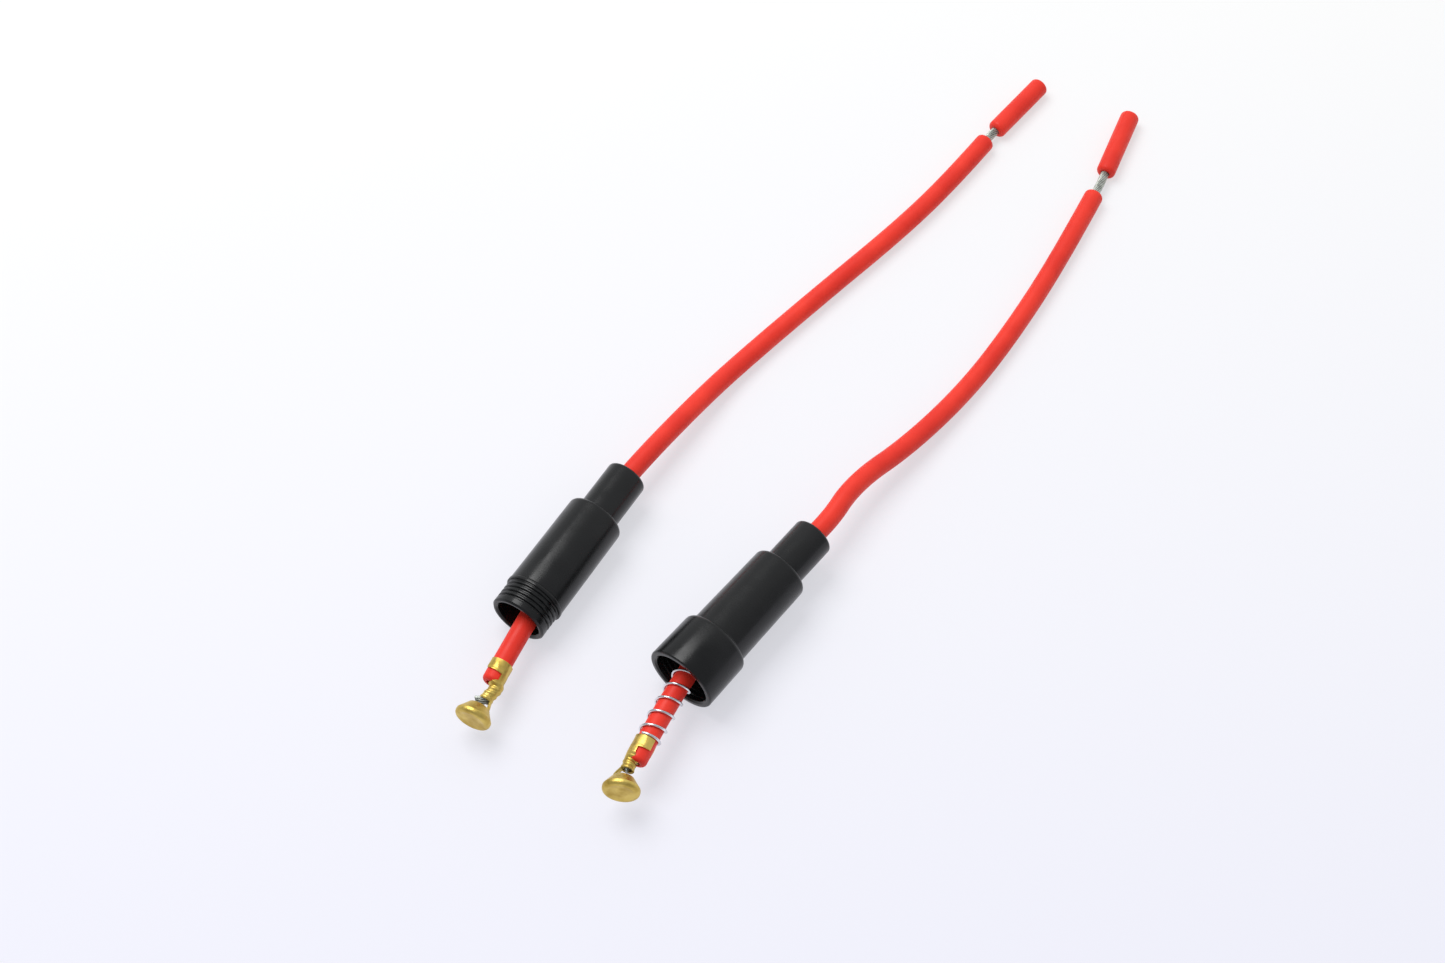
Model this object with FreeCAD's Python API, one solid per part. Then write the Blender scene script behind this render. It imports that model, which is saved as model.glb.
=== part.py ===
"""Inline fuse holder, unscrewed into its two halves, each on its own lead.

All lengths are in millimetres, +Z is up and z = 0 is the surface that the halves lie on.
Each half has a moulded housing that slides on a red lead, and a stamped brass contact that is
crimped on the front end of the lead. The male housing has the threaded mouth. The female
housing has the collar that screws over it, and a spring lies behind its contact.
"""
import FreeCAD, Part
import math
import os

Vec = FreeCAD.Vector
UP = Vec(0, 0, 1)

# Leads: stranded copper in a thick insulation
insulation_radius = 1.8
conductor_radius = 0.8
conductor_clearance = 0.05
insulation_end_rounding = 0.75
floor_clearance = 0.02

# Fits
crimp_clearance = 0.02
lead_hole_clearance = 0.35
pocket_clearance = 0.8
thread_clearance = 0.15

# Shell sizes shared by both housings
neck_radius = 3.72
neck_end_rounding = 0.6
shoulder_rounding = 0.8
end_wall = 1.5
pocket_length = 9.7
chamber_radius = 4.2
seat_chamfer = 0.5
mouth_chamfer = 0.3

# Male housing, measured from its mouth
male_length = 34.1
male_thread_length = 4.85
male_thread_radius = 5.2
male_ring_length = 0.75
male_ring_radius = 5.525
male_body_front_radius = 5.4
male_body_rear_radius = 5.25
male_neck_length = 9.8

# Female housing, measured from its mouth
female_length = 36.4
collar_length = 9.7
collar_front_radius = 6.575
collar_rear_radius = 6.4
collar_rounding = 0.9
collar_mouth_rounding = 0.35
collar_thread_depth = 8.4
female_body_front_radius = 5.45
female_body_rear_radius = 5.2
female_neck_length = 9.15

# Brass contact, with its crimps placed back from the head
contact_length = 11.6
sheet = 0.3
band_length = 2.0
band_opening = 1.6
strap_width = 2.4
strap_jog = 0.7
neck_width = 1.2
neck_lap = 0.05
crimp_length = 2.5
crimp_slit = 0.5
insulation_to_crimp = 0.3
crimp_to_head = 1.6
conductor_past_crimp = 1.2
head_radius = 3.25
head_rim_length = 0.7
head_throat_radius = 1.9
head_length = 2.9

# Spring on the female lead, closed at both ends
spring_wire_radius = 0.25
spring_clearance = 0.15
spring_pitch = 2.82
spring_turns = 8.25
spring_end_turns = 1.0
spring_coil_gap = 0.02
spring_gap = 0.3
spring_corners_per_turn = 8

# Stripped ends: a slug of insulation stays on the tip of each conductor
male_gap = 2.9
male_slug_length = 14.4
female_gap = 5.3
female_slug_length = 15.0

# How the halves lie: centre of the lead hole in the end of each neck, heading of the housing
# from mouth to neck, the angle of the lead in the hole, the radius of its bend in front and
# the further turn of the straight run that carries the contact
male_hole_x = -3.55
male_hole_y = 30.40
male_heading = 57.4
male_lead_angle = 1.75
male_bend_radius = 222.0
male_lead_forward = 42.3
male_contact_turn = -1.5

female_hole_x = 29.10
female_hole_y = 17.80
female_heading = 50.7
female_lead_angle = 6.9
female_bend_radius = 140.0
female_lead_forward = 47.7
female_contact_turn = 2.0

bend_runs = 3
last_run_before_hole = 3.0
bare_turn_share = 0.5
arc_share = 0.45
same_place = 1e-6

# Sizes that follow from the ones above
table_height = insulation_radius + floor_clearance
crimp_end = contact_length - head_length - crimp_to_head
crimp_start = crimp_end - crimp_length
insulation_in_contact = crimp_start - insulation_to_crimp
conductor_end = crimp_end + conductor_past_crimp
band_side = insulation_radius + crimp_clearance
core_side = conductor_radius + crimp_clearance
head_back = contact_length - head_length
head_cone_length = head_length - head_rim_length - sheet
head_slope = (head_radius - head_throat_radius) / head_cone_length

# Free part of each lead, from the neck to the stripped end, as it lies on the table
male_route = [
    Vec(7.58, 45.54, 3.9),
    Vec(15.38, 55.64, table_height),
    Vec(30.78, 71.24, table_height),
    Vec(46.08, 86.24, table_height),
    Vec(56.08, 97.54, table_height),
    Vec(63.38, 107.24, table_height),
]
male_slug_heading = 50.1
female_route = [
    Vec(36.28, 28.64, 6.2),
    Vec(46.58, 38.34, 3.4),
    Vec(57.68, 51.24, table_height),
    Vec(66.78, 64.54, table_height),
    Vec(75.78, 79.94, table_height),
    Vec(83.18, 94.54, table_height),
]
female_slug_heading = 67.2


def unit(vector):
    """A copy of the vector with length 1."""
    return vector * (1.0 / vector.Length)


def heading_vector(degrees):
    """Horizontal unit vector at a heading counted from +X."""
    return Vec(math.cos(math.radians(degrees)), math.sin(math.radians(degrees)), 0)


def turn_at(before, here, after):
    """Angle by which a path turns at a point, in radians."""
    return (here - before).getAngle(after - here)


def tangent_arc(before, here, after, radius):
    """Start, middle and end of the arc that rounds one corner of a path."""
    half = turn_at(before, here, after) / 2
    back = unit(before - here)
    ahead = unit(after - here)
    reach = radius * math.tan(half)
    inset = radius / math.cos(half) - radius
    return here + back * reach, here + unit(back + ahead) * inset, here + ahead * reach


def rounded_edges(points, radii, closed=False):
    """Straight edges through the points, with an arc at each corner that has a radius."""
    count = len(points)
    edges = []
    corners = []
    for i, here in enumerate(points):
        inner = closed or 0 < i < count - 1
        if inner and radii[i] > 0:
            corners.append(tangent_arc(points[i - 1], here, points[(i + 1) % count], radii[i]))
        else:
            corners.append((here, None, here))
    for i, (start, middle, end) in enumerate(corners):
        if middle is not None:
            edges.append(Part.Arc(start, middle, end).toShape())
        if i < count - 1 or closed:
            following = corners[(i + 1) % count][0]
            if (following - end).Length > same_place:
                edges.append(Part.LineSegment(end, following).toShape())
    return edges


def revolved(outline):
    """Solid turned about the X axis from corners given as (x, radius, rounding)."""
    points = [Vec(x, radius, 0) for x, radius, _ in outline]
    wire = Part.Wire(rounded_edges(points, [rounding for _, _, rounding in outline], closed=True))
    return Part.Face(wire).revolve(Vec(0, 0, 0), Vec(1, 0, 0), 360)


def placed(shape, origin, x_axis, y_axis):
    """A copy of the shape with its X and Y axes turned to the given ones."""
    z_axis = x_axis.cross(y_axis)
    matrix = FreeCAD.Matrix(
        x_axis.x, y_axis.x, z_axis.x, origin.x,
        x_axis.y, y_axis.y, z_axis.y, origin.y,
        x_axis.z, y_axis.z, z_axis.z, origin.z,
        0, 0, 0, 1)
    moved = shape.copy()
    moved.Placement = FreeCAD.Placement(matrix).multiply(shape.Placement)
    return moved


def turned_towards(direction, other, degrees):
    """The direction after a turn towards another one at right angles to it."""
    angle = math.radians(degrees)
    return direction * math.cos(angle) + other * math.sin(angle)


class Bend:
    """Circular bend of a lead in front of the hole in its neck, and the straight run that
    carries the contact at its front end."""

    def __init__(self, hole, heading, lead_angle, radius, forward, contact_turn):
        self.hole = hole
        self.radius = radius
        self.forward = forward
        self.axis = heading_vector(heading) * -1
        self.side = Vec(-self.axis.y, self.axis.x, 0)
        self.tangent = turned_towards(self.axis, self.side, -lead_angle)
        self.normal = turned_towards(self.side, self.axis, lead_angle)
        self.centre = hole + self.normal * radius
        self.run = forward / bend_runs
        angle = forward / radius
        across = self.normal * math.cos(angle) - self.tangent * math.sin(angle)
        self.contact_direction = turned_towards(self.direction(forward), across, contact_turn)

    def direction(self, distance):
        """Forward direction of the lead at a distance in front of the hole."""
        angle = distance / self.radius
        return self.tangent * math.cos(angle) + self.normal * math.sin(angle)

    def point(self, distance, radius=None):
        """Point of the bend, or of a circle about the same centre."""
        angle = distance / self.radius
        outward = self.normal * -math.cos(angle) + self.tangent * math.sin(angle)
        return self.centre + outward * (radius or self.radius)

    def corners(self):
        """Corners of the straight runs that touch the bend, from the contact to the hole."""
        corner_radius = self.radius / math.cos(self.run / self.radius / 2)
        middles = [self.forward - self.run * (i + 0.5) for i in range(bend_runs)]
        return [self.point(middle, corner_radius) for middle in middles]

    def beyond(self, length):
        """Point on the straight run of the contact, past its rear edge."""
        reach = self.radius * math.tan(self.run / self.radius / 2)
        return self.corners()[0] + self.contact_direction * (reach + length)


def lead_points(bend, free_route):
    """Corners of a lead's route from the front end of its insulation to the rear one."""
    leaving = bend.hole - bend.tangent * last_run_before_hole
    return [bend.beyond(insulation_in_contact)] + bend.corners() + [leaving] + free_route


def route_radii(points):
    """Radius at each point of a route, as large as the two runs beside it allow."""
    radii = [0.0]
    for before, here, after in zip(points, points[1:], points[2:]):
        shorter = min((here - before).Length, (after - here).Length)
        radii.append(arc_share * shorter / math.tan(turn_at(before, here, after) / 2))
    return radii + [0.0]


def swept(path, outer_radius, inner_radius=0.0):
    """Tube or rod along a path, with its volume compared with section times length."""
    start = path.Edges[0].firstVertex().Point
    direction = unit(path.Edges[0].lastVertex().Point - start)
    section = Part.Face(Part.Wire(Part.makeCircle(outer_radius, start, direction)))
    if inner_radius:
        section = section.cut(Part.Face(Part.Wire(Part.makeCircle(inner_radius, start, direction))))
        section = section.Faces[0]
    solid = path.makePipe(section)
    expected = section.Area * path.Length
    print("  length %.1f, volume %.2f against %.2f" % (path.Length, solid.Volume, expected))
    return solid


def round_ends(tube, radius, rounding):
    """Round the outer edges of a tube's two ends."""
    rims = []
    for edge in tube.Edges:
        full_circle = isinstance(edge.Curve, Part.Circle) and edge.isClosed()
        if not full_circle or abs(edge.Curve.Radius - radius) > same_place:
            continue
        faces = tube.ancestorsOfType(edge, Part.Face)
        if any(isinstance(face.Surface, Part.Plane) for face in faces):
            rims.append(edge)
    return tube.makeFillet(rounding, rims)


def lead_insulation(name, points):
    """Insulation of one lead, as one hollow tube."""
    radii = route_radii(points)
    print(name, "bend radii", [round(radius, 1) for radius in radii[1:-1]])
    path = Part.Wire(rounded_edges(points, radii))
    return round_ends(swept(path, insulation_radius, conductor_radius + conductor_clearance),
                      insulation_radius, insulation_end_rounding)


def bare_corner(points, gap):
    """Where the conductor turns, halfway along its bare stretch."""
    return points[-1] + unit(points[-1] - points[-2]) * gap * bare_turn_share


def slug_start(points, gap, slug_heading):
    """Near end of the slug."""
    return bare_corner(points, gap) + heading_vector(slug_heading) * gap * (1 - bare_turn_share)


def lead_conductor(name, bend, points, gap, slug_heading, slug_length):
    """Conductor from its cut end in the contact to the tip of the slug.

    It bends with the insulation, and once more in the middle of its bare stretch.
    """
    front = bend.beyond(conductor_end)
    corner = bare_corner(points, gap)
    near = slug_start(points, gap, slug_heading)
    tip = near + heading_vector(slug_heading) * slug_length
    corner_radius = route_radii([points[-1], corner, near])[1]
    print(name, "radius at the bare end", round(corner_radius, 1))
    radii = route_radii(points)[:-1] + [corner_radius, 0.0]
    return swept(Part.Wire(rounded_edges([front] + points[1:-1] + [corner, tip], radii)),
                 conductor_radius)


def lead_slug(points, gap, slug_heading, slug_length):
    """Slug of insulation left on the tip of the conductor, open at both ends."""
    tube = revolved([
        (0, conductor_radius + conductor_clearance, 0),
        (0, insulation_radius, insulation_end_rounding),
        (slug_length, insulation_radius, insulation_end_rounding),
        (slug_length, conductor_radius + conductor_clearance, 0),
    ])
    forward = heading_vector(slug_heading)
    return placed(tube, slug_start(points, gap, slug_heading), forward, UP.cross(forward))


def neck_and_chamber(length, neck_length, body_rear_radius):
    """Corners of the outline round the neck: outside from the body, then inside to the chamber."""
    hole = insulation_radius + lead_hole_clearance
    pocket = insulation_radius + sheet + pocket_clearance
    pocket_mouth = length - end_wall - pocket_length
    return [
        (length - neck_length, body_rear_radius, shoulder_rounding),
        (length - neck_length, neck_radius, 0),
        (length, neck_radius, neck_end_rounding),
        (length, hole, 0),
        (length - end_wall, hole, 0),
        (length - end_wall, pocket, 0),
        (pocket_mouth + seat_chamfer, pocket, 0),
        (pocket_mouth, pocket + seat_chamfer, 0),
        (pocket_mouth, chamber_radius, 0),
    ]


def male_housing():
    """Threaded half: thread crests, end ring, body and neck round one stepped bore."""
    ring_start = male_thread_length
    ring_end = ring_start + male_ring_length
    outline = [
        (0, chamber_radius + mouth_chamfer, 0),
        (0, male_thread_radius - mouth_chamfer, 0),
        (mouth_chamfer, male_thread_radius, 0),
        (ring_start, male_thread_radius, 0),
        (ring_start, male_ring_radius, 0),
        (ring_end, male_ring_radius, 0),
        (ring_end, male_body_front_radius, 0),
    ]
    outline += neck_and_chamber(male_length, male_neck_length, male_body_rear_radius)
    outline += [(mouth_chamfer, chamber_radius, 0)]
    return revolved(outline)


def female_housing():
    """Collared half: the collar takes the male thread, and the bore behind it takes the fuse."""
    thread_bore = male_thread_radius + thread_clearance
    outline = [
        (0, thread_bore + mouth_chamfer, 0),
        (0, collar_front_radius, collar_mouth_rounding),
        (collar_length, collar_rear_radius, collar_rounding),
        (collar_length, female_body_front_radius, 0),
    ]
    outline += neck_and_chamber(female_length, female_neck_length, female_body_rear_radius)
    outline += [
        (collar_thread_depth, chamber_radius, 0),
        (collar_thread_depth, thread_bore, 0),
        (mouth_chamfer, thread_bore, 0),
    ]
    return revolved(outline)


def housing_in_place(shell, length, bend):
    """Lay a housing so that its end wall is at the hole and its mouth points forward."""
    return placed(shell, bend.hole + bend.axis * length, bend.axis * -1, bend.side * -1)


def rod(radius, length):
    """Cylinder along +X from the rear edge of the contact."""
    return Part.makeCylinder(radius, length, Vec(0, 0, 0), Vec(1, 0, 0))


def crimped_ring(start, length, inner_radius, opening):
    """Wings of a crimp, bent round from the +Y side until they face each other."""
    ring = Part.makeCylinder(inner_radius + sheet, length, Vec(start, 0, 0), Vec(1, 0, 0))
    ring = ring.cut(Part.makeCylinder(inner_radius, length, Vec(start, 0, 0), Vec(1, 0, 0)))
    depth = inner_radius + sheet
    return ring.cut(Part.makeBox(length, depth, opening, Vec(start, -depth, -opening / 2)))


def extruded(outline, direction):
    """Prism over a closed outline."""
    return Part.Face(Part.makePolygon(outline + outline[:1])).extrude(direction)


def strap():
    """Strip through the two crimps to the head, curved along the insulation and flat past it.

    Its front end lies in the wall of the head and stands a little proud of it.
    """
    half_width = strap_width / 2
    insulation_end = insulation_in_contact + crimp_clearance
    curved_side = math.sqrt(band_side ** 2 - half_width ** 2)
    neck_side = head_throat_radius - sheet + neck_lap
    front_side = neck_side + sheet * head_slope
    stations = [
        (0, curved_side, band_side),
        (insulation_end, curved_side, band_side),
        (crimp_start + strap_jog, core_side, core_side),
        (crimp_end, core_side, core_side),
        (head_back, neck_side, neck_side),
        (head_back + sheet, front_side, front_side),
    ]
    inner = [Vec(x, low, -half_width) for x, low, _ in stations]
    outer = [Vec(x, high + sheet, -half_width) for x, _, high in reversed(stations)]
    plan = [(0, half_width), (insulation_end, half_width), (crimp_start + strap_jog, neck_width / 2),
            (contact_length, neck_width / 2)]
    right = [Vec(x, 0, z) for x, z in plan]
    left = [Vec(x, 0, -z) for x, z in reversed(plan)]
    outside = Vec(0, band_side + sheet, 0)
    strip = extruded(inner + outer, Vec(0, 0, strap_width)).common(extruded(right + left, outside))
    strip = strip.common(rod(band_side + sheet, contact_length))
    return strip.cut([rod(band_side, insulation_end), rod(core_side, contact_length)])


def contact_head():
    """Drawn head: a flat front face, a rolled rim and a conical back that is open at its throat."""
    rim_back = head_back + head_cone_length
    inner_rim = head_radius - sheet
    return revolved([
        (contact_length, 0, 0),
        (contact_length, head_radius, head_rim_length),
        (rim_back, head_radius, sheet),
        (head_back, head_throat_radius, 0),
        (head_back, head_throat_radius - sheet, 0),
        (rim_back - sheet * head_slope / 2, inner_rim - sheet, 0),
        (contact_length - sheet, inner_rim - sheet, 0),
        (contact_length - sheet, 0, 0),
    ])


def contact(bend, strap_side):
    """One stamped brass contact on its lead: insulation crimp, conductor crimp, strap and head."""
    band = crimped_ring(0, band_length, band_side, band_opening)
    crimp = crimped_ring(crimp_start, crimp_length, core_side, crimp_slit)
    body = band.fuse([crimp, strap(), contact_head()]).removeSplitter()
    return placed(body, bend.beyond(0), bend.contact_direction, strap_side)


def spring_advance(turn):
    """Distance from the front end of the spring after some turns, closed up at both ends."""
    closing = spring_pitch - 2 * spring_wire_radius - spring_coil_gap
    front = min(turn, spring_end_turns)
    rear = min(spring_turns - turn, spring_end_turns)
    lost_at_front = closing * (front - front ** 2 / spring_end_turns / 2)
    lost_at_rear = closing * (rear - rear ** 2 / spring_end_turns / 2)
    lost_in_all = closing * spring_end_turns / 2
    return spring_pitch * turn - lost_at_front - (lost_in_all - lost_at_rear)


def along(edges, distance):
    """Point and direction at a distance along a chain of edges."""
    for edge in edges:
        if distance < edge.Length:
            break
        distance -= edge.Length
    parameter = edge.getParameterByLength(distance)
    return edge.valueAt(parameter), edge.tangentAt(parameter)


def contact_spring(points):
    """Coil spring that lies on the female lead behind its contact and bends with it.

    Its wire is a chain of short arcs, whose corners lie a little outside the coil.
    """
    lead = rounded_edges(points, route_radii(points))
    coil_radius = insulation_radius + spring_clearance + spring_wire_radius
    corner_radius = coil_radius / math.cos(math.pi / spring_corners_per_turn)
    front = insulation_in_contact + spring_gap + spring_wire_radius
    steps = round(spring_turns * spring_corners_per_turn)
    corners = []
    for step in range(steps + 1):
        turn = spring_turns * step / steps
        middle, direction = along(lead, front + spring_advance(turn))
        angle = 2 * math.pi * turn
        outward = UP.cross(direction) * math.cos(angle) + UP * math.sin(angle)
        corners.append(middle + outward * corner_radius)
    return swept(Part.Wire(rounded_edges(corners, route_radii(corners))), spring_wire_radius)


def main():
    """Build every piece in place and write one file for each."""
    male = Bend(Vec(male_hole_x, male_hole_y, male_ring_radius), male_heading, male_lead_angle,
                male_bend_radius, male_lead_forward, male_contact_turn)
    female = Bend(Vec(female_hole_x, female_hole_y, collar_front_radius), female_heading,
                  female_lead_angle, female_bend_radius, female_lead_forward, female_contact_turn)
    male_points = lead_points(male, male_route)
    female_points = lead_points(female, female_route)
    pieces = {
        "male_housing": housing_in_place(male_housing(), male_length, male),
        "male_contact": contact(male, UP.cross(male.contact_direction)),
        "male_lead_insulation": lead_insulation("male insulation", male_points),
        "male_lead_conductor": lead_conductor("male conductor", male, male_points, male_gap,
                                              male_slug_heading, male_slug_length),
        "male_lead_slug": lead_slug(male_points, male_gap, male_slug_heading, male_slug_length),
        "female_housing": housing_in_place(female_housing(), female_length, female),
        "female_contact": contact(female, female.contact_direction.cross(UP)),
        "contact_spring": contact_spring(female_points),
        "female_lead_insulation": lead_insulation("female insulation", female_points),
        "female_lead_conductor": lead_conductor("female conductor", female, female_points,
                                                female_gap, female_slug_heading,
                                                female_slug_length),
        "female_lead_slug": lead_slug(female_points, female_gap, female_slug_heading,
                                      female_slug_length),
    }
    os.makedirs("parts", exist_ok=True)
    for name, shape in pieces.items():
        print("%-24s valid %s solids %d volume %.2f" % (
            name, shape.isValid(), len(shape.Solids), shape.Volume))
        shape.exportStep("parts/%s.step" % name)


main()
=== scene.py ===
"""Looks of the inline fuse holder: two halves on a white table, each on its own red lead.

Helpers work in millimetres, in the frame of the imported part, and meshes are scaled to metres.
"""
import math

import bmesh
import bpy
from mathutils import Matrix, Vector


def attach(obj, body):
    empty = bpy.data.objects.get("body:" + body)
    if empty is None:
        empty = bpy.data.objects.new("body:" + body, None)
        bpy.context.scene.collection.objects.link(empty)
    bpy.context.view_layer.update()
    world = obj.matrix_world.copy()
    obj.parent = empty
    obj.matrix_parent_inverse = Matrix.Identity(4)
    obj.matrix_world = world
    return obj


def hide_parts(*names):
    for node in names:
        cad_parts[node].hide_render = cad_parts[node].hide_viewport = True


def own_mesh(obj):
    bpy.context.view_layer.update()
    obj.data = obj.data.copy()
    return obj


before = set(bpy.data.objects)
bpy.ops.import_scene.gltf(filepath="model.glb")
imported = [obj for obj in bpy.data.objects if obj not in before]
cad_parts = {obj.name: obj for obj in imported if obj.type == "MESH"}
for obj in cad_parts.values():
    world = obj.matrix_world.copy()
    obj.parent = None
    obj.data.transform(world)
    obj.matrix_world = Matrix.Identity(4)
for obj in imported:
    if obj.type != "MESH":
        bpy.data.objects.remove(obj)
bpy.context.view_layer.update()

MM = 0.001
WELD = 1e-7
UP = Vector((0.0, 0.0, 1.0))
TAU = 2 * math.pi

# Photograph
IMAGE_WIDTH = 1445
SENSOR = 36.0
FOCAL_PIXELS = 3000.0
CAMERA_ELEVATION = 59.0
CAMERA_DISTANCE = 533.8
CAMERA_TARGET = Vector((13.18, 32.64, 0.0))

# Leads
INSULATION_RADIUS = 1.8
CONDUCTOR_RADIUS = 0.8
CONDUCTOR_CLEARANCE = 0.05
TABLE_HEIGHT = INSULATION_RADIUS + 0.02
INSULATION_ROUNDING = 0.75
BEND_RUNS = 3
LAST_RUN_BEFORE_HOLE = 3.0

# Shells, with stations measured back from the mouth
MALE_LENGTH = 34.1
MALE_RING_RADIUS = 5.525
MALE_BODY_RADIUS = 5.25
MALE_NECK_LENGTH = 9.8
MALE_THREAD_RADIUS = 5.2
MALE_THREAD_END = 4.85
MALE_RING_END = 5.6
FEMALE_LENGTH = 36.4
FEMALE_BODY_RADIUS = 5.2
FEMALE_NECK_LENGTH = 9.15
COLLAR_LENGTH = 9.7
COLLAR_FRONT_RADIUS = 6.575
COLLAR_REAR_RADIUS = 6.4
COLLAR_THREAD_RADIUS = 5.35
COLLAR_THREAD_DEPTH = 8.4
NECK_RADIUS = 3.72
END_WALL = 1.5
POCKET_LENGTH = 9.7
POCKET_RADIUS = 2.9
CHAMBER_RADIUS = 4.2
LEAD_HOLE_RADIUS = 2.15

# Contact, measured forward from the rear edge of the stamping
CONTACT_LENGTH = 11.6
SHEET = 0.3
BAND_LENGTH = 2.0
HEAD_RADIUS = 3.25
HEAD_LENGTH = 2.9
HEAD_THROAT_RADIUS = 1.9
STRAP_SIDE = INSULATION_RADIUS + 0.02 + SHEET / 2
CRIMP_RADIUS = 1.08

MALE_ROUTE = [(7.58, 45.54, 3.9), (15.38, 55.64, TABLE_HEIGHT), (30.78, 71.24, TABLE_HEIGHT),
              (46.08, 86.24, TABLE_HEIGHT), (56.08, 97.54, TABLE_HEIGHT),
              (63.38, 107.24, TABLE_HEIGHT)]
FEMALE_ROUTE = [(36.28, 28.64, 6.2), (46.58, 38.34, 3.4), (57.68, 51.24, TABLE_HEIGHT),
                (66.78, 64.54, TABLE_HEIGHT), (75.78, 79.94, TABLE_HEIGHT),
                (83.18, 94.54, TABLE_HEIGHT)]


def heading_vector(degrees):
    """Horizontal unit vector at a heading counted from +X."""
    return Vector((math.cos(math.radians(degrees)), math.sin(math.radians(degrees)), 0.0))


def turned_towards(direction, other, degrees):
    """The direction after a turn towards another one at right angles to it."""
    angle = math.radians(degrees)
    return direction * math.cos(angle) + other * math.sin(angle)


class Half:
    """Where one half lies: its housing, the circular bend of its lead and its contact."""

    def __init__(self, hole, heading, lead_angle, radius, forward, contact_turn):
        self.hole = Vector(hole)
        self.radius = radius
        self.forward = forward
        self.axis = -heading_vector(heading)
        self.side = Vector((-self.axis.y, self.axis.x, 0.0))
        self.tangent = turned_towards(self.axis, self.side, -lead_angle)
        self.normal = turned_towards(self.side, self.axis, lead_angle)
        self.centre = self.hole + self.normal * radius
        self.run = forward / BEND_RUNS
        angle = forward / radius
        across = self.normal * math.cos(angle) - self.tangent * math.sin(angle)
        self.contact_direction = turned_towards(self.direction(forward), across, contact_turn)

    def stamp(self, strap, band_start, tip, strap_wing, crimp, cut, head_shift, head_turn,
              head_lift):
        """How the contact is crimped on, and how far its head is bent off the axis.

        The crimp is given as two stations with the shift of its base towards the strap,
        and cut is the front end of the conductor and its shift from the axis.
        """
        self.strap = strap
        self.band_start = band_start
        self.tip = tip
        self.strap_wing = strap_wing
        self.crimp = crimp
        self.cut = cut
        pivot = self.beyond(CONTACT_LENGTH - HEAD_LENGTH)
        level = self.contact_direction.cross(UP)
        turn = Matrix.Rotation(math.radians(head_turn), 4, UP)
        lift = Matrix.Rotation(math.radians(head_lift), 4, level)
        self.bent = (Matrix.Translation(pivot + head_shift) @ turn @ lift
                     @ Matrix.Translation(-pivot))

    def lay(self, route, gap, slug_heading, slug_length):
        """Free part of the lead and its stripped end."""
        self.route = [Vector(point) for point in route]
        self.gap = gap
        self.slug_direction = heading_vector(slug_heading)
        self.slug_length = slug_length

    def direction(self, distance):
        """Forward direction of the lead at a distance in front of the hole."""
        angle = distance / self.radius
        return self.tangent * math.cos(angle) + self.normal * math.sin(angle)

    def point(self, distance, radius=None):
        """Point of the bend, or of a circle about the same centre."""
        angle = distance / self.radius
        outward = self.tangent * math.sin(angle) - self.normal * math.cos(angle)
        return self.centre + outward * (radius or self.radius)

    def corners(self):
        """Corners of the straight runs that touch the bend, from the contact to the hole."""
        corner_radius = self.radius / math.cos(self.run / self.radius / 2)
        middles = [self.forward - self.run * (i + 0.5) for i in range(BEND_RUNS)]
        return [self.point(middle, corner_radius) for middle in middles]

    def beyond(self, length):
        """Point on the straight run of the contact, past its rear edge."""
        reach = self.radius * math.tan(self.run / self.radius / 2)
        return self.corners()[0] + self.contact_direction * (reach + length)

    def lead_points(self):
        """Corners of the lead's route from the front end of its insulation to the rear one."""
        leaving = self.hole - self.tangent * LAST_RUN_BEFORE_HOLE
        return [self.beyond(self.tip)] + self.corners() + [leaving] + self.route

    def bare_corner(self):
        """Where the conductor turns, halfway along its bare stretch."""
        last = (self.route[-1] - self.route[-2]).normalized()
        return self.route[-1] + last * self.gap / 2

    def slug_ends(self):
        """Near and far end of the slug."""
        near = self.bare_corner() + self.slug_direction * self.gap / 2
        return near, near + self.slug_direction * self.slug_length


MALE = Half(hole=(-3.55, 30.40, MALE_RING_RADIUS), heading=57.4, lead_angle=1.75, radius=222.0,
            forward=42.3, contact_turn=-1.5)
MALE.stamp(strap=UP.cross(MALE.contact_direction), band_start=0.35, tip=4.4, strap_wing=0.85,
           crimp=((4.4, 0.35), (7.5, -0.25)), cut=(8.5, -0.75),
           head_shift=Vector((0.03, -0.5, 0.0)), head_turn=0.0, head_lift=0.0)
MALE.lay(MALE_ROUTE, gap=2.9, slug_heading=50.1, slug_length=14.4)

FEMALE = Half(hole=(29.10, 17.80, COLLAR_FRONT_RADIUS), heading=50.7, lead_angle=6.9,
              radius=140.0, forward=47.7, contact_turn=2.0)
FEMALE.stamp(strap=FEMALE.contact_direction.cross(UP), band_start=1.35, tip=5.9,
             strap_wing=1.35, crimp=((5.3, -0.05), (7.4, -0.25)), cut=(7.1, 0.65),
             head_shift=Vector((-0.75, -0.25, 0.0)), head_turn=16.0, head_lift=5.0)
FEMALE.lay(FEMALE_ROUTE, gap=5.3, slug_heading=67.2, slug_length=15.0)


# Mesh helpers

def placing(origin, x_axis, y_axis):
    """Matrix that lays a shape's own axes along the given ones."""
    z_axis = x_axis.cross(y_axis)
    rows = [(x_axis[i], y_axis[i], z_axis[i], origin[i]) for i in range(3)]
    return Matrix(rows + [(0.0, 0.0, 0.0, 1.0)])


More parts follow.
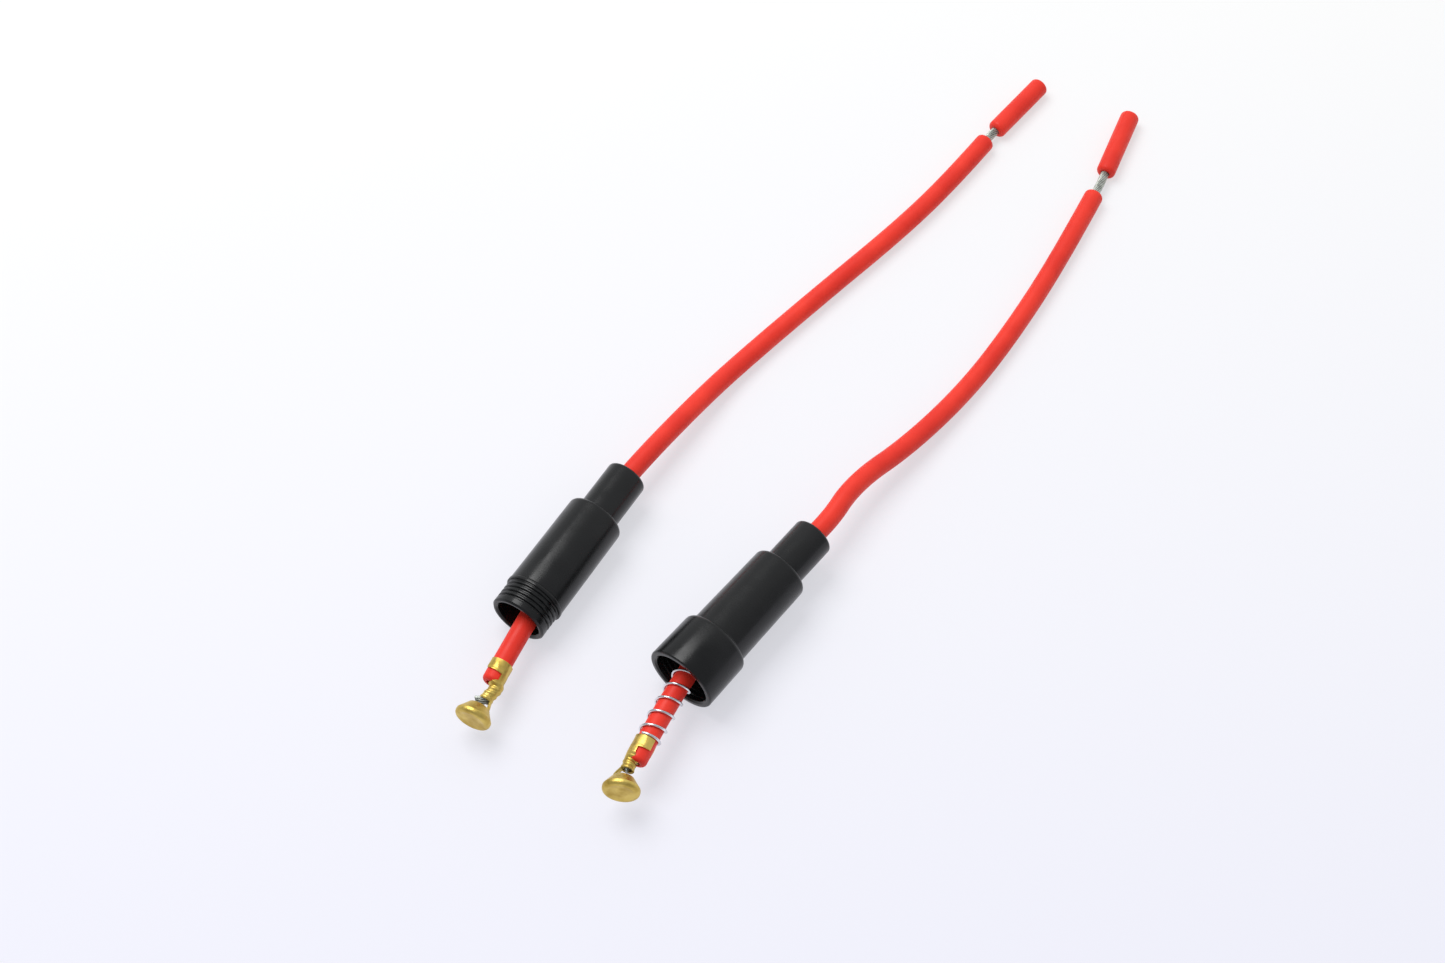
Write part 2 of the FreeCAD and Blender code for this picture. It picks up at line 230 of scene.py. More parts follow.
def new_object(name, vertices, faces, material, matrix=None, sharp=40.0):
    """Mesh object from vertices in millimetres."""
    matrix = matrix or Matrix.Identity(4)
    mesh = bpy.data.meshes.new(name)
    mesh.from_pydata([(matrix @ Vector(v)) * MM for v in vertices], [], faces)
    joined = bmesh.new()
    joined.from_mesh(mesh)
    bmesh.ops.remove_doubles(joined, verts=joined.verts, dist=WELD)
    joined.to_mesh(mesh)
    joined.free()
    mesh.shade_smooth()
    mesh.set_sharp_from_angle(angle=math.radians(sharp))
    mesh.materials.append(material)
    obj = bpy.data.objects.new(name, mesh)
    bpy.context.scene.collection.objects.link(obj)
    return obj


def grid_faces(rows, columns, wrap_rows, wrap_columns, first=0):
    """Quads between the points of a grid that is stored row by row."""
    faces = []
    for i in range(rows if wrap_rows else rows - 1):
        for j in range(columns if wrap_columns else columns - 1):
            a = i * columns + j
            b = i * columns + (j + 1) % columns
            c = ((i + 1) % rows) * columns + (j + 1) % columns
            d = ((i + 1) % rows) * columns + j
            faces.append(tuple(first + k for k in (a, b, c, d)))
    return faces


def rounded_outline(corners, steps=5):
    """Points of a closed outline of (x, radius, rounding), with rounded corners."""
    points = []
    count = len(corners)
    for i, (x, r, rounding) in enumerate(corners):
        here = Vector((x, r))
        if not rounding:
            points.append(here)
            continue
        back = (Vector(corners[i - 1][:2]) - here).normalized()
        ahead = (Vector(corners[(i + 1) % count][:2]) - here).normalized()
        half = (math.pi - back.angle(ahead)) / 2
        reach = rounding * math.tan(half)
        centre = here + (back + ahead).normalized() * rounding / math.cos(half)
        start = here + back * reach - centre
        end = here + ahead * reach - centre
        turn = start.angle_signed(end)
        for k in range(steps + 1):
            angle = -turn * k / steps
            points.append(centre + Matrix.Rotation(angle, 2) @ start)
    return points


def divided(points, low, high, step, outside):
    """The outline with its long stretches between two stations cut into short ones."""
    result = []
    for i, here in enumerate(points):
        result.append(here)
        after = points[(i + 1) % len(points)]
        inside = min(here.x, after.x) >= low - 1e-6 and max(here.x, after.x) <= high + 1e-6
        if inside and outside(here.y) and outside(after.y) and abs(after.x - here.x) > step:
            pieces = math.ceil(abs(after.x - here.x) / step)
            result += [here.lerp(after, k / pieces) for k in range(1, pieces)]
    return result


def turned(name, outline, material, matrix, segments, radius_at=None):
    """Closed solid turned about the X axis; radius_at may change a radius by angle."""
    vertices = []
    for point in outline:
        for j in range(segments):
            angle = TAU * j / segments
            radius = radius_at(point.x, point.y, angle) if radius_at else point.y
            vertices.append((point.x, radius * math.cos(angle), radius * math.sin(angle)))
    on_axis = outline[0].y == 0
    faces = grid_faces(len(outline), segments, not on_axis, True)
    return new_object(name, vertices, faces, material, matrix)


def spline_points(control, resolution=24):
    """Points read from the NURBS spline of a route, in millimetres."""
    curve = bpy.data.curves.new("route", "CURVE")
    curve.dimensions = "3D"
    spline = curve.splines.new("NURBS")
    spline.points.add(len(control) - 1)
    for target, point in zip(spline.points, control):
        target.co = (*point, 1.0)
    spline.order_u = 3
    spline.use_endpoint_u = True
    spline.resolution_u = resolution
    holder = bpy.data.objects.new("route", curve)
    bpy.context.scene.collection.objects.link(holder)
    line = bpy.data.meshes.new_from_object(holder)
    points = [v.co.copy() for v in line.vertices]
    bpy.data.objects.remove(holder)
    bpy.data.curves.remove(curve)
    bpy.data.meshes.remove(line)
    return points


def lengths_along(points):
    """Distance of each point from the first one."""
    along = [0.0]
    for a, b in zip(points, points[1:]):
        along.append(along[-1] + (b - a).length)
    return along


def frames_along(points):
    """Tangent and two cross directions at each point, without twist."""
    frames = []
    side = None
    for i, here in enumerate(points):
        before = points[max(i - 1, 0)]
        after = points[min(i + 1, len(points) - 1)]
        tangent = (after - before).normalized()
        side = UP.cross(tangent) if side is None else side - tangent * side.dot(tangent)
        side.normalize()
        frames.append((tangent, side.copy(), tangent.cross(side)))
    return frames


def refined(points, along, stations):
    """Points of a line at the given distances from its start."""
    result = []
    k = 0
    for station in stations:
        while k < len(along) - 2 and along[k + 1] < station:
            k += 1
        share = (station - along[k]) / (along[k + 1] - along[k])
        result.append(points[k].lerp(points[k + 1], share))
    return result


def tube(name, points, outer, inner, rounding, material, sides=40, steps=6):
    """Hollow tube along a line, with rounded outer edges and an open bore at both ends."""
    along = lengths_along(points)
    total = along[-1]
    edge = [rounding * (1 - math.cos(math.pi / 2 * k / steps)) for k in range(steps + 1)]
    stations = edge + [s for s in along if rounding < s < total - rounding]
    stations += [total - e for e in reversed(edge)]
    line = refined(points, along, stations)
    frames = frames_along(line)
    rows = []
    for station in range(len(line)):
        distance = min(stations[station], total - stations[station])
        radius = outer
        if distance < rounding:
            radius -= rounding - math.sqrt(rounding ** 2 - (rounding - distance) ** 2)
        rows.append((station, radius))
    rows += [(station, inner) for station in range(len(line) - 1, -1, -1)]
    vertices = []
    for station, radius in rows:
        _, side, over = frames[station]
        for j in range(sides):
            angle = TAU * j / sides
            outward = side * math.cos(angle) + over * math.sin(angle)
            vertices.append(line[station] + outward * radius)
    return new_object(name, vertices, grid_faces(len(rows), sides, True, True), material)


def rod_parts(points, radius, sides, first):
    """Vertices and faces of a closed round rod along a line; first numbers its vertices."""
    frames = frames_along(points)
    vertices = []
    for here, (_, side, over) in zip(points, frames):
        for j in range(sides):
            angle = TAU * j / sides
            vertices.append(here + (side * math.cos(angle) + over * math.sin(angle)) * radius)
    faces = grid_faces(len(points), sides, False, True, first)
    faces.append(tuple(first + j for j in reversed(range(sides))))
    last = first + (len(points) - 1) * sides
    faces.append(tuple(last + j for j in range(sides)))
    return vertices, faces


# Materials

WEAR_SCALE = 2.3
WEAR_DETAIL = 5.0
GRAIN_DETAIL = 2.0


def node_material(name):
    """New material with its nodes and links."""
    material = bpy.data.materials.new(name)
    material.use_nodes = True
    return material, material.node_tree.nodes, material.node_tree.links


def add_noise(nodes, links, scale, detail=3.0):
    """Noise texture in object coordinates."""
    coordinates = nodes.new("ShaderNodeTexCoord")
    noise = nodes.new("ShaderNodeTexNoise")
    noise.inputs["Scale"].default_value = scale
    noise.inputs["Detail"].default_value = detail
    links.new(coordinates.outputs["Object"], noise.inputs["Vector"])
    return noise


def add_ramp(nodes, links, source, low, high, start=0.35, end=0.65):
    """Colour ramp between two colours or grey values."""
    ramp = nodes.new("ShaderNodeValToRGB")
    ramp.color_ramp.elements[0].position = start
    ramp.color_ramp.elements[1].position = end
    ramp.color_ramp.elements[0].color = (*low, 1.0)
    ramp.color_ramp.elements[1].color = (*high, 1.0)
    links.new(source, ramp.inputs["Fac"])
    return ramp


def add_bump(nodes, links, shader, source, distance, strength):
    """Bump from a height source."""
    bump = nodes.new("ShaderNodeBump")
    bump.inputs["Distance"].default_value = distance
    bump.inputs["Strength"].default_value = strength
    links.new(source, bump.inputs["Height"])
    links.new(bump.outputs["Normal"], shader.inputs["Normal"])


def surface(name, dark, light, scale, rough, bump_scale, bump_distance, bump_strength,
            metallic=0.0, specular=0.5):
    """Material with a soft colour variation, uneven roughness and a fine surface grain."""
    material, nodes, links = node_material(name)
    shader = nodes["Principled BSDF"]
    shader.inputs["Metallic"].default_value = metallic
    shader.inputs["Specular IOR Level"].default_value = specular
    colour = add_ramp(nodes, links, add_noise(nodes, links, scale).outputs["Fac"], dark, light)
    links.new(colour.outputs["Color"], shader.inputs["Base Color"])
    wear = add_noise(nodes, links, scale * WEAR_SCALE, WEAR_DETAIL)
    low = (rough[0],) * 3
    high = (rough[1],) * 3
    roughness = add_ramp(nodes, links, wear.outputs["Fac"], low, high)
    links.new(roughness.outputs["Color"], shader.inputs["Roughness"])
    grain = add_noise(nodes, links, bump_scale, GRAIN_DETAIL)
    add_bump(nodes, links, shader, grain.outputs["Fac"], bump_distance, bump_strength)
    return material


BLACK_PLASTIC = surface("black_plastic", (0.0050, 0.0054, 0.0056), (0.0085, 0.0088, 0.0092),
                        120.0, (0.20, 0.30), 2600.0, 0.00002, 0.35, specular=0.30)
RED_INSULATION = surface("red_insulation", (0.78, 0.034, 0.020), (0.88, 0.046, 0.026), 160.0,
                         (0.36, 0.50), 2200.0, 0.00002, 0.25, specular=0.22)
BRASS = surface("brass", (0.52, 0.36, 0.075), (0.72, 0.54, 0.145), 420.0,
                (0.34, 0.52), 1500.0, 0.00006, 0.5, metallic=1.0)
TINNED_COPPER = surface("tinned_copper", (0.34, 0.36, 0.32), (0.56, 0.59, 0.54), 900.0,
                        (0.34, 0.48), 3000.0, 0.00002, 0.4, metallic=0.9)
SPRING_STEEL = surface("spring_steel", (0.62, 0.63, 0.66), (0.84, 0.85, 0.88), 700.0,
                       (0.12, 0.24), 3000.0, 0.00001, 0.2, metallic=1.0)


# Housings

THREAD_PITCH = 0.86
THREAD_DEPTH = 0.32
INNER_THREAD_SHARE = 0.2
THREAD_LIP = 1.0
THREAD_RUNOUT = 0.4
INNER_THREAD_RUNOUT = 0.8
MOUTH_CHAMFER = 0.3
MALE_THREAD_STEP = 0.06
INNER_THREAD_STEP = 0.08
HOUSING_SEGMENTS = 180

# These keep the fine mesh inside the box of the solids
RING_INSET = 0.005
COLLAR_INSET = 0.01


def smooth(value):
    """Smooth step from 0 to 1."""
    value = min(max(value, 0.0), 1.0)
    return value * value * (3 - 2 * value)


def thread_groove(x, angle):
    """Depth share of the thread groove, 0 on a crest and 1 in a root."""
    phase = (x / THREAD_PITCH - angle / TAU) % 1.0
    distance = abs(phase - 0.5) * 2
    return 1 - smooth((distance - 0.22) / 0.5)


def male_radius(x, r, angle):
    """Outer radius of the male housing, cut by its thread near the mouth."""
    if r < MALE_THREAD_RADIUS - 0.25 or x > MALE_THREAD_END:
        return r
    fade = smooth((x - THREAD_LIP) / THREAD_RUNOUT)
    fade *= smooth((MALE_THREAD_END - x) / THREAD_RUNOUT)
    return r - THREAD_DEPTH * fade * thread_groove(x, angle)


def in_collar_bore(r):
    """Whether a radius is that of the collar's threaded bore."""
    return abs(r - COLLAR_THREAD_RADIUS) < 0.01


def female_radius(x, r, angle):
    """Inner radius of the collar, with shallow thread ridges standing in from the bore."""
    if not in_collar_bore(r) or not MOUTH_CHAMFER < x < COLLAR_THREAD_DEPTH:
        return r
    fade = smooth((x - 0.4) / INNER_THREAD_RUNOUT)
    fade *= smooth((COLLAR_THREAD_DEPTH - 0.5 - x) / INNER_THREAD_RUNOUT)
    return r - THREAD_DEPTH * INNER_THREAD_SHARE * fade * (1 - thread_groove(x, angle))


def neck_outline(length, neck_length, body_radius):
    """Corners from the rear of the body round the neck and back in to the chamber."""
    pocket_mouth = length - END_WALL - POCKET_LENGTH
    return [
        (length - neck_length, body_radius, 0.8),
        (length - neck_length, NECK_RADIUS, 0.25),
        (length, NECK_RADIUS, 0.6),
        (length, LEAD_HOLE_RADIUS, 0.15),
        (length - END_WALL, LEAD_HOLE_RADIUS, 0),
        (length - END_WALL, POCKET_RADIUS, 0.1),
        (pocket_mouth + 0.5, POCKET_RADIUS, 0),
        (pocket_mouth, POCKET_RADIUS + 0.5, 0),
        (pocket_mouth, CHAMBER_RADIUS, 0.2),
    ]


def male_housing():
    """Threaded half."""
    corners = [
        (0.0, CHAMBER_RADIUS + MOUTH_CHAMFER, 0.12),
        (0.0, MALE_THREAD_RADIUS - MOUTH_CHAMFER, 0.12),
        (MOUTH_CHAMFER, MALE_THREAD_RADIUS, 0.0),
        (MALE_THREAD_END, MALE_THREAD_RADIUS, 0.0),
        (MALE_THREAD_END, MALE_RING_RADIUS - RING_INSET, 0.12),
        (MALE_RING_END, MALE_RING_RADIUS - RING_INSET, 0.25),
        (MALE_RING_END, MALE_BODY_RADIUS + 0.15, 0.0),
    ]
    corners += neck_outline(MALE_LENGTH, MALE_NECK_LENGTH, MALE_BODY_RADIUS)
    corners += [(MOUTH_CHAMFER, CHAMBER_RADIUS, 0.1)]
    outline = divided(rounded_outline(corners), 0.0, MALE_THREAD_END, MALE_THREAD_STEP,
                      lambda r: r > CHAMBER_RADIUS + 0.6)
    matrix = placing(MALE.hole + MALE.axis * MALE_LENGTH, -MALE.axis, -MALE.side)
    return turned("male_shell_body", outline, BLACK_PLASTIC, matrix, HOUSING_SEGMENTS,
                  male_radius)


def female_housing():
    """Collared half."""
    corners = [
        (0.0, COLLAR_THREAD_RADIUS + MOUTH_CHAMFER, 0.12),
        (0.0, COLLAR_FRONT_RADIUS - COLLAR_INSET, 0.35),
        (COLLAR_LENGTH, COLLAR_REAR_RADIUS, 0.9),
        (COLLAR_LENGTH, FEMALE_BODY_RADIUS + 0.25, 0.2),
    ]
    corners += neck_outline(FEMALE_LENGTH, FEMALE_NECK_LENGTH, FEMALE_BODY_RADIUS)
    corners += [
        (COLLAR_THREAD_DEPTH, CHAMBER_RADIUS, 0.15),
        (COLLAR_THREAD_DEPTH, COLLAR_THREAD_RADIUS, 0.0),
        (MOUTH_CHAMFER, COLLAR_THREAD_RADIUS, 0.0),
    ]
    outline = divided(rounded_outline(corners), 0.0, COLLAR_THREAD_DEPTH, INNER_THREAD_STEP,
                      in_collar_bore)
    matrix = placing(FEMALE.hole + FEMALE.axis * FEMALE_LENGTH, -FEMALE.axis, -FEMALE.side)
    return turned("female_shell_body", outline, BLACK_PLASTIC, matrix, HOUSING_SEGMENTS,
                  female_radius)


# Leads

STRANDS = 12
STRAND_RADIUS = 0.165
STRAND_PITCH = 13.0
STRAND_SPLAY = 0.22
STRAND_SPLAY_LENGTH = 1.2
STRAND_SIDES = 7
CORE_RADIUS = CONDUCTOR_RADIUS - 2 * STRAND_RADIUS + 0.05
CORE_SIDES = 12
CONDUCTOR_STEP = 0.6
CONDUCTOR_BEND = 1.5
SLUG_STEPS = 24


def conductor(name, half, lead_line):
    """Bundle of twisted strands from the cut end in the contact to the tip of the slug.

    It leaves the axis of the lead inside the insulation's tip, and splays at its cut end.
    """
    (start, start_shift), (end, end_shift) = half.crimp
    in_crimp = STRAP_SIDE - CRIMP_RADIUS
    stub = [half.cut, (end, in_crimp + end_shift), (start + 0.4, in_crimp + start_shift),
            (half.tip - 0.3, 0.5 * in_crimp)]
    front = [half.beyond(x) + half.strap * aside for x, aside in stub]
    covered = [point for point, station in zip(lead_line, lengths_along(lead_line))
               if station > CONDUCTOR_BEND]
    _, tip = half.slug_ends()
    line = front + covered + [half.bare_corner(), tip]
    along = lengths_along(line)
    count = int(along[-1] / CONDUCTOR_STEP)
    stations = [along[-1] * k / count for k in range(count + 1)]
    points = refined(line, along, stations)
    frames = frames_along(points)
    vertices, faces = rod_parts(points, CORE_RADIUS, CORE_SIDES, 0)
    for strand in range(STRANDS):
        path = []
        for here, station, (_, side, over) in zip(points, stations, frames):
            angle = TAU * (strand / STRANDS + station / STRAND_PITCH)
            splay = STRAND_SPLAY * smooth(1 - station / STRAND_SPLAY_LENGTH)
            reach = CONDUCTOR_RADIUS - STRAND_RADIUS + splay
            path.append(here + (side * math.cos(angle) + over * math.sin(angle)) * reach)
        more_vertices, more_faces = rod_parts(path, STRAND_RADIUS, STRAND_SIDES,
                                              len(vertices))
        vertices += more_vertices
        faces += more_faces
    return new_object(name, vertices, faces, TINNED_COPPER, sharp=60.0)


def lead(prefix, half):
    """Insulation, conductor and slug of one lead, each attached to the leads body."""
    line = spline_points(half.lead_points())
    bore = CONDUCTOR_RADIUS + CONDUCTOR_CLEARANCE
    insulation = tube(prefix + "_insulation", line, INSULATION_RADIUS, bore,
                      INSULATION_ROUNDING, RED_INSULATION)
    strands = conductor(prefix + "_strands", half, line)
    near, far = half.slug_ends()
    slug_line = [near.lerp(far, k / SLUG_STEPS) for k in range(SLUG_STEPS + 1)]
    slug = tube(prefix + "_slug", slug_line, INSULATION_RADIUS, bore, INSULATION_ROUNDING,
                RED_INSULATION)
    for piece, node, slot in ((insulation, "insulation", "red_insulation"),
                              (strands, "conductor", "tinned_copper"),
                              (slug, "slug", "red_insulation")):
        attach(piece, "leads")
        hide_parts(prefix + "_" + node)
    return line


# Contacts

BAND_WING = 2.45
BAND_DENT = 0.05
CRIMP_SEAM = 0.2
CRIMP_CURL = 0.15
CRIMP_RIPPLE = 0.06
CRIMP_FINE_RIPPLE = 0.03
FUNNEL_RADIUS = 1.6
NECK_CURL_RADIUS = 1.3
NECK_WING = 0.5
SHEET_ROWS = 128
SHEET_COLUMNS = 41
SHEET_BEVEL = 0.08
HEAD_SEGMENTS = 96
HEAD_RIM_LENGTH = 1.0
HEAD_WALL = 0.4


def station_value(table, x):
    """Value at a station between the named ones, smoothly joined."""
    for (x0, v0), (x1, v1) in zip(table, table[1:]):
        if x <= x1:
            return v0 + (v1 - v0) * smooth((x - x0) / (x1 - x0))
    return table[-1][1]


def contact_sheet(half, matrix):
    """Mid surface of the stamping: band, strap, conductor crimp and neck as one bent sheet.

    Each row across the strip is an arc, given by its radius, by how far its middle lies to
    the strap's side, and by its half angle. The crimp funnels in from the insulation's tip,
    and past it the sheet goes over to the place of the bent head.
    """
    band_end = half.band_start + BAND_LENGTH
    (start, start_shift), (crimp_end, end_shift) = half.crimp
    head_back = CONTACT_LENGTH - HEAD_LENGTH
    last = head_back + 0.3
    throat_side = HEAD_THROAT_RADIUS - SHEET / 2
    radius = [(half.band_start, STRAP_SIDE), (start - 0.6, STRAP_SIDE), (start, FUNNEL_RADIUS),
              (start + 0.5, CRIMP_RADIUS), (crimp_end, CRIMP_RADIUS),
              (head_back, NECK_CURL_RADIUS), (last, NECK_CURL_RADIUS)]
    side = [(half.band_start, STRAP_SIDE), (start - 0.8, STRAP_SIDE),
            (start + 0.2, STRAP_SIDE + start_shift), (crimp_end, STRAP_SIDE + end_shift),
            (head_back, throat_side), (last, throat_side + 0.2)]
    crimp_wing = math.pi - CRIMP_SEAM / CRIMP_RADIUS
    spread = [(half.band_start, BAND_WING), (band_end, BAND_WING),
              (band_end + 0.35, half.strap_wing), (start - 0.6, half.strap_wing),
              (start, 1.7), (start + 0.4, crimp_wing), (crimp_end, crimp_wing),
              (crimp_end + 0.25, NECK_WING + 0.1), (head_back, NECK_WING),
              (last, NECK_WING + 0.1)]
    vertices = []
    for i in range(SHEET_ROWS):
        x = half.band_start + (last - half.band_start) * i / (SHEET_ROWS - 1)
        reach = station_value(radius, x)
        half_angle = station_value(spread, x)
        middle = station_value(side, x) - reach
        in_crimp = smooth((x - start - 0.3) / 0.5) * smooth((crimp_end + 0.2 - x) / 0.3)
        in_band = smooth((band_end - x) / 0.2)
        for j in range(SHEET_COLUMNS):
            share = 2 * j / (SHEET_COLUMNS - 1) - 1
            angle = share * half_angle
            curl = CRIMP_CURL * in_crimp * smooth((abs(share) - 0.70) / 0.30)
            ripple = in_crimp * (CRIMP_RIPPLE * math.sin(x * 6.1 + share)
                                 + CRIMP_FINE_RIPPLE * math.sin(x * 13.0))
            dent = BAND_DENT * in_band * math.sin(angle * 3.0 + x)
            r = reach - curl + ripple - abs(dent)
            here = matrix @ Vector((x, middle + r * math.cos(angle), r * math.sin(angle)))
            share_bent = smooth((x - crimp_end) / (head_back - crimp_end))
            vertices.append(here.lerp(half.bent @ here, share_bent))
    return vertices, grid_faces(SHEET_ROWS, SHEET_COLUMNS, False, False)


def contact_head_outline():
    """Closed outline of the drawn head with its rolled rim and open throat."""
    back = CONTACT_LENGTH - HEAD_LENGTH
    rim_back = CONTACT_LENGTH - HEAD_RIM_LENGTH
    return rounded_outline([
        (CONTACT_LENGTH - 0.10, 0.0, 0.0),
        (CONTACT_LENGTH - 0.08, 1.9, 0.4),
        (CONTACT_LENGTH, 2.35, 0.3),
        (CONTACT_LENGTH, HEAD_RADIUS, 0.66),
        (rim_back, HEAD_RADIUS, 0.30),
        (back, HEAD_THROAT_RADIUS, 0.12),
        (back, HEAD_THROAT_RADIUS - 0.28, 0.12),
        (rim_back - 0.1, HEAD_RADIUS - 0.60, 0.15),
        (CONTACT_LENGTH - HEAD_WALL, HEAD_RADIUS - 0.60, 0.15),
        (CONTACT_LENGTH - 0.42, 0.0, 0.0),
    ])


def contact(name, half):
    """One stamped contact: the thick bent sheet and the head in one mesh."""
    matrix = placing(half.beyond(0.0), half.contact_direction, half.strap)
    vertices, faces = contact_sheet(half, matrix)
    strip = new_object(name, vertices, faces, BRASS, sharp=180.0)
    thick = strip.modifiers.new("thick", "SOLIDIFY")
    thick.thickness = SHEET * MM
    thick.offset = 0.0
    soft = strip.modifiers.new("soft", "BEVEL")
    soft.width = SHEET_BEVEL * MM
    soft.segments = 2
    soft.limit_method = "ANGLE"
    soft.angle_limit = math.radians(50)
    head = turned(name + "_head", contact_head_outline(), BRASS, half.bent @ matrix,
                  HEAD_SEGMENTS)
    bpy.context.view_layer.update()
    solid = bpy.data.meshes.new_from_object(strip.evaluated_get(
        bpy.context.evaluated_depsgraph_get()))
    strip.modifiers.clear()
    strip.data = solid
    with bpy.context.temp_override(active_object=strip, object=strip,
                                   selected_objects=[strip, head],
                                   selected_editable_objects=[strip, head]):
        bpy.ops.object.join()
    strip.data.shade_smooth()
    strip.data.set_sharp_from_angle(angle=math.radians(40))
    return strip


# Spring

SPRING_WIRE = 0.23
SPRING_COIL = 2.08
SPRING_GAP = 0.03
SPRING_PITCH = 2.86
SPRING_TURNS = 8.25
SPRING_END_TURNS = 1.0
SPRING_CLOSED_PITCH = 0.52
SPRING_STEPS = 28
SPRING_SIDES = 12
SPRING_PHASE = math.radians(61.5)


def spring_advance(turn):
    """Distance from the front end of the spring after some turns, closed up at both ends."""
    closing = SPRING_PITCH - SPRING_CLOSED_PITCH
    front = min(turn, SPRING_END_TURNS)
    rear = min(SPRING_TURNS - turn, SPRING_END_TURNS)
    lost_at_front = closing * (front - front ** 2 / SPRING_END_TURNS / 2)
    lost_at_rear = closing * (rear - rear ** 2 / SPRING_END_TURNS / 2)
    return SPRING_PITCH * turn - lost_at_front - closing * SPRING_END_TURNS / 2 + lost_at_rear


def contact_spring(lead_line):
    """Closed-end coil spring that lies on the lead behind the contact and bends with it.

    Its front and back points on the lead's line come with it.
    """
    along = lengths_along(lead_line)
    start = FEMALE.tip - FEMALE.band_start + SPRING_GAP + SPRING_WIRE
    count = int(SPRING_TURNS * SPRING_STEPS)
    turns = [SPRING_TURNS * k / count for k in range(count + 1)]
    centres = refined(lead_line, along, [start + spring_advance(turn) for turn in turns])
    path = []
    for turn, centre, (tangent, _, _) in zip(turns, centres, frames_along(centres)):
        angle = SPRING_PHASE + TAU * turn
        outward = UP.cross(tangent) * math.cos(angle) + UP * math.sin(angle)
        path.append(centre + outward * SPRING_COIL)
    vertices, faces = rod_parts(path, SPRING_WIRE, SPRING_SIDES, 0)
    coil = new_object("contact_spring_coil", vertices, faces, SPRING_STEEL, sharp=60.0)
    return coil, centres[0], centres[-1]


# Object

lead("male_lead", MALE)
female_line = lead("female_lead", FEMALE)
spring, spring_front, spring_back = contact_spring(female_line)
dressed = [
    (male_housing(), "male_shell", "male_housing", "black_plastic"),
    (female_housing(), "female_shell", "female_housing", "black_plastic"),
    (contact("male_stamping", MALE), "leads", "male_contact", "brass"),
    (contact("female_stamping", FEMALE), "leads", "female_contact", "brass"),
    (spring, "leads", "contact_spring", "spring_steel"),
]
for piece, body, node, slot in dressed:
    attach(piece, body)
    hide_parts(node)
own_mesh(spring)


# Table, light and camera

TABLE_NEAR = (0.860, 0.860, 0.955)
TABLE_FAR = (0.955, 0.955, 0.950)
TABLE_NEAR_Y = -90.0
TABLE_FAR_Y = 140.0
TABLE_SIZE = 1200.0
TABLE_GLOW = 0.62
SURROUND_DIM = (0.52, 0.53, 0.56)
SURROUND_BRIGHT = (0.96, 0.98, 1.0)
SURROUND_STRENGTH = 0.85
BRIGHT_SIDE = (0.462, 0.887, 0.0)
BRIGHT_FROM = 0.40
BRIGHT_EDGE = 0.03
LAMP_PLACE = (-260.0, 300.0, 760.0)
LAMP_TARGET = (15.0, 20.0, 0.0)
LAMP_SIZE = (520.0, 520.0)
LAMP_POWER = 5.0


def table():
    """White table, a touch bluer towards the viewer, whose shadows are nearly washed out."""
    material, nodes, links = node_material("table_white")
    shader = nodes["Principled BSDF"]
    shader.inputs["Roughness"].default_value = 0.6
    shader.inputs["Specular IOR Level"].default_value = 0.1
    coordinates = nodes.new("ShaderNodeTexCoord")
    split = nodes.new("ShaderNodeSeparateXYZ")
    links.new(coordinates.outputs["Object"], split.inputs["Vector"])
    span = nodes.new("ShaderNodeMapRange")
    span.inputs["From Min"].default_value = TABLE_NEAR_Y * MM
    span.inputs["From Max"].default_value = TABLE_FAR_Y * MM
    links.new(split.outputs["Y"], span.inputs["Value"])
    tint = add_ramp(nodes, links, span.outputs["Result"], TABLE_NEAR, TABLE_FAR, 0.0, 1.0)
    links.new(tint.outputs["Color"], shader.inputs["Base Color"])
    glow = nodes.new("ShaderNodeEmission")
    links.new(tint.outputs["Color"], glow.inputs["Color"])
    rays = nodes.new("ShaderNodeLightPath")
    seen = nodes.new("ShaderNodeMath")
    seen.operation = "MAXIMUM"
    links.new(rays.outputs["Is Camera Ray"], seen.inputs[0])
    links.new(rays.outputs["Is Glossy Ray"], seen.inputs[1])
    share = nodes.new("ShaderNodeMath")
    share.operation = "MULTIPLY"
    share.inputs[1].default_value = TABLE_GLOW
    links.new(seen.outputs["Value"], share.inputs[0])
    mixed = nodes.new("ShaderNodeMixShader")
    links.new(share.outputs["Value"], mixed.inputs[0])
    links.new(shader.outputs["BSDF"], mixed.inputs[1])
    links.new(glow.outputs["Emission"], mixed.inputs[2])
    links.new(mixed.outputs["Shader"], nodes["Material Output"].inputs["Surface"])
    size = TABLE_SIZE
    floor = new_object("table", [(-size, -size, 0), (size, -size, 0), (size, size, 0),
                                 (-size, size, 0)], [(0, 1, 2, 3)], material)


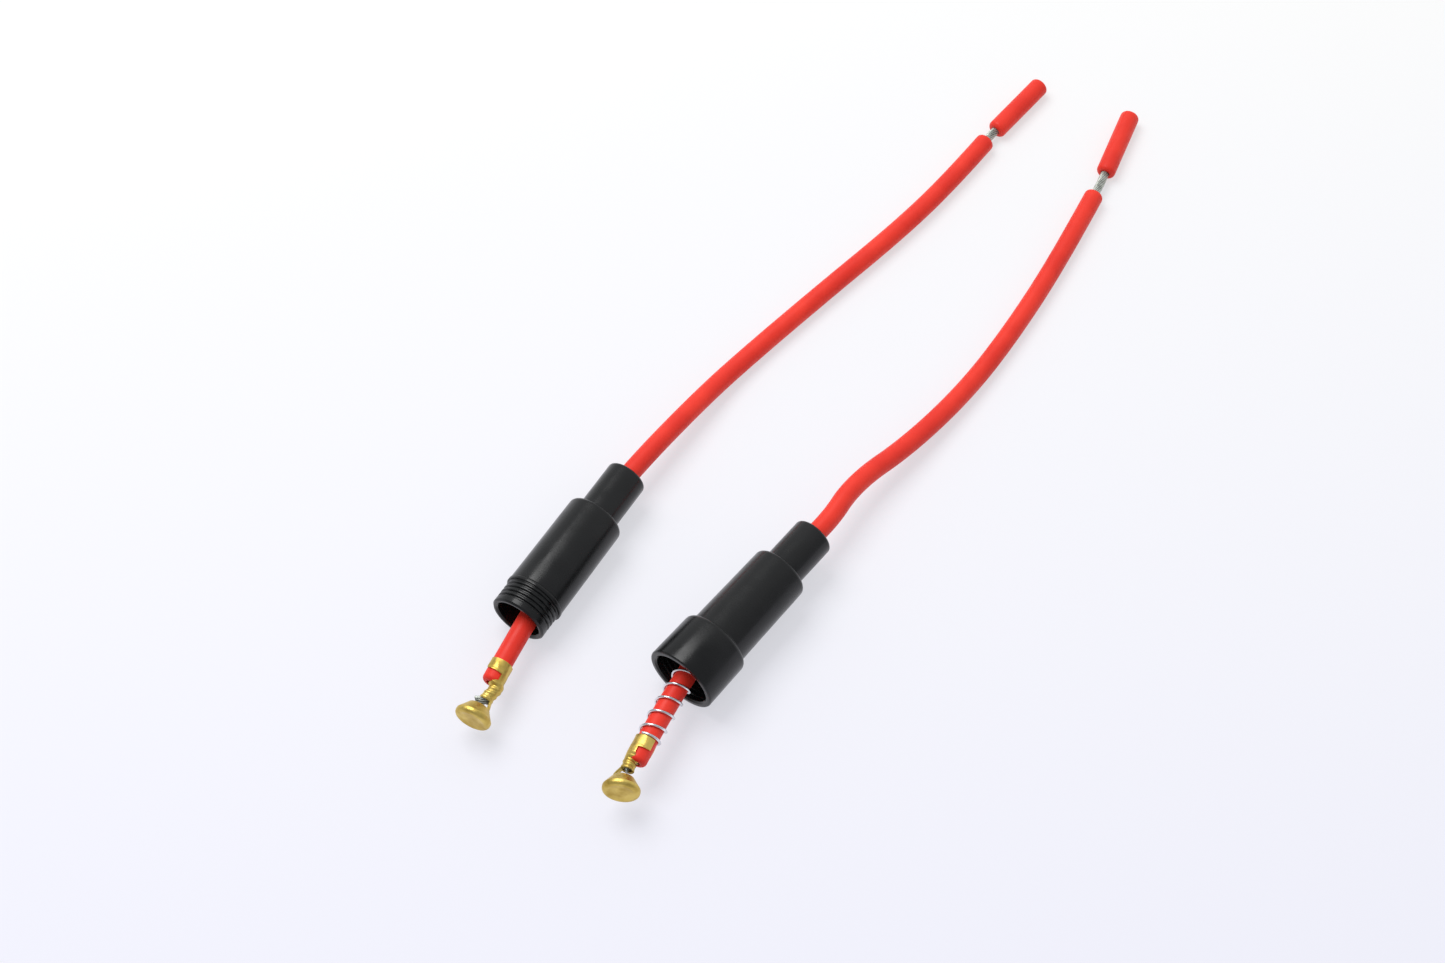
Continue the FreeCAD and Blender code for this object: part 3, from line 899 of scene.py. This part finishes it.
def area_light(name, location, target, size, power):
    """Soft rectangular lamp that faces a point, placed in millimetres."""
    data = bpy.data.lights.new(name, "AREA")
    data.shape = "RECTANGLE"
    data.size, data.size_y = size[0] * MM, size[1] * MM
    data.energy = power
    lamp = bpy.data.objects.new(name, data)
    lamp.location = Vector(location) * MM
    lamp.rotation_euler = (Vector(target) - Vector(location)).to_track_quat("-Z", "Y").to_euler()
    bpy.context.scene.collection.objects.link(lamp)


def lighting():
    """Plain soft studio light: a surround, brighter at the far side, and one large lamp."""
    world = bpy.data.worlds.new("surround")
    bpy.context.scene.world = world
    world.use_nodes = True
    nodes = world.node_tree.nodes
    links = world.node_tree.links
    coordinates = nodes.new("ShaderNodeTexCoord")
    towards = nodes.new("ShaderNodeVectorMath")
    towards.operation = "DOT_PRODUCT"
    links.new(coordinates.outputs["Generated"], towards.inputs[0])
    towards.inputs[1].default_value = BRIGHT_SIDE
    shade = add_ramp(nodes, links, towards.outputs["Value"], SURROUND_DIM, SURROUND_BRIGHT,
                     BRIGHT_FROM, BRIGHT_FROM + BRIGHT_EDGE)
    background = nodes["Background"]
    links.new(shade.outputs["Color"], background.inputs["Color"])
    background.inputs["Strength"].default_value = SURROUND_STRENGTH
    area_light("key_lamp", LAMP_PLACE, LAMP_TARGET, LAMP_SIZE, LAMP_POWER)


def camera():
    """Camera at the photograph's angle, looking at the middle of its frame."""
    elevation = math.radians(CAMERA_ELEVATION)
    back = Vector((0.0, -math.cos(elevation), math.sin(elevation)))
    data = bpy.data.cameras.new("camera")
    data.sensor_width = SENSOR
    data.lens = FOCAL_PIXELS * SENSOR / IMAGE_WIDTH
    data.dof.use_dof = False
    holder = bpy.data.objects.new("camera", data)
    holder.location = (CAMERA_TARGET + back * CAMERA_DISTANCE) * MM
    holder.rotation_euler = (math.pi / 2 - elevation, 0.0, 0.0)
    bpy.context.scene.collection.objects.link(holder)
    bpy.context.scene.camera = holder


table()
lighting()
camera()
bpy.context.scene.view_settings.view_transform = "Standard"
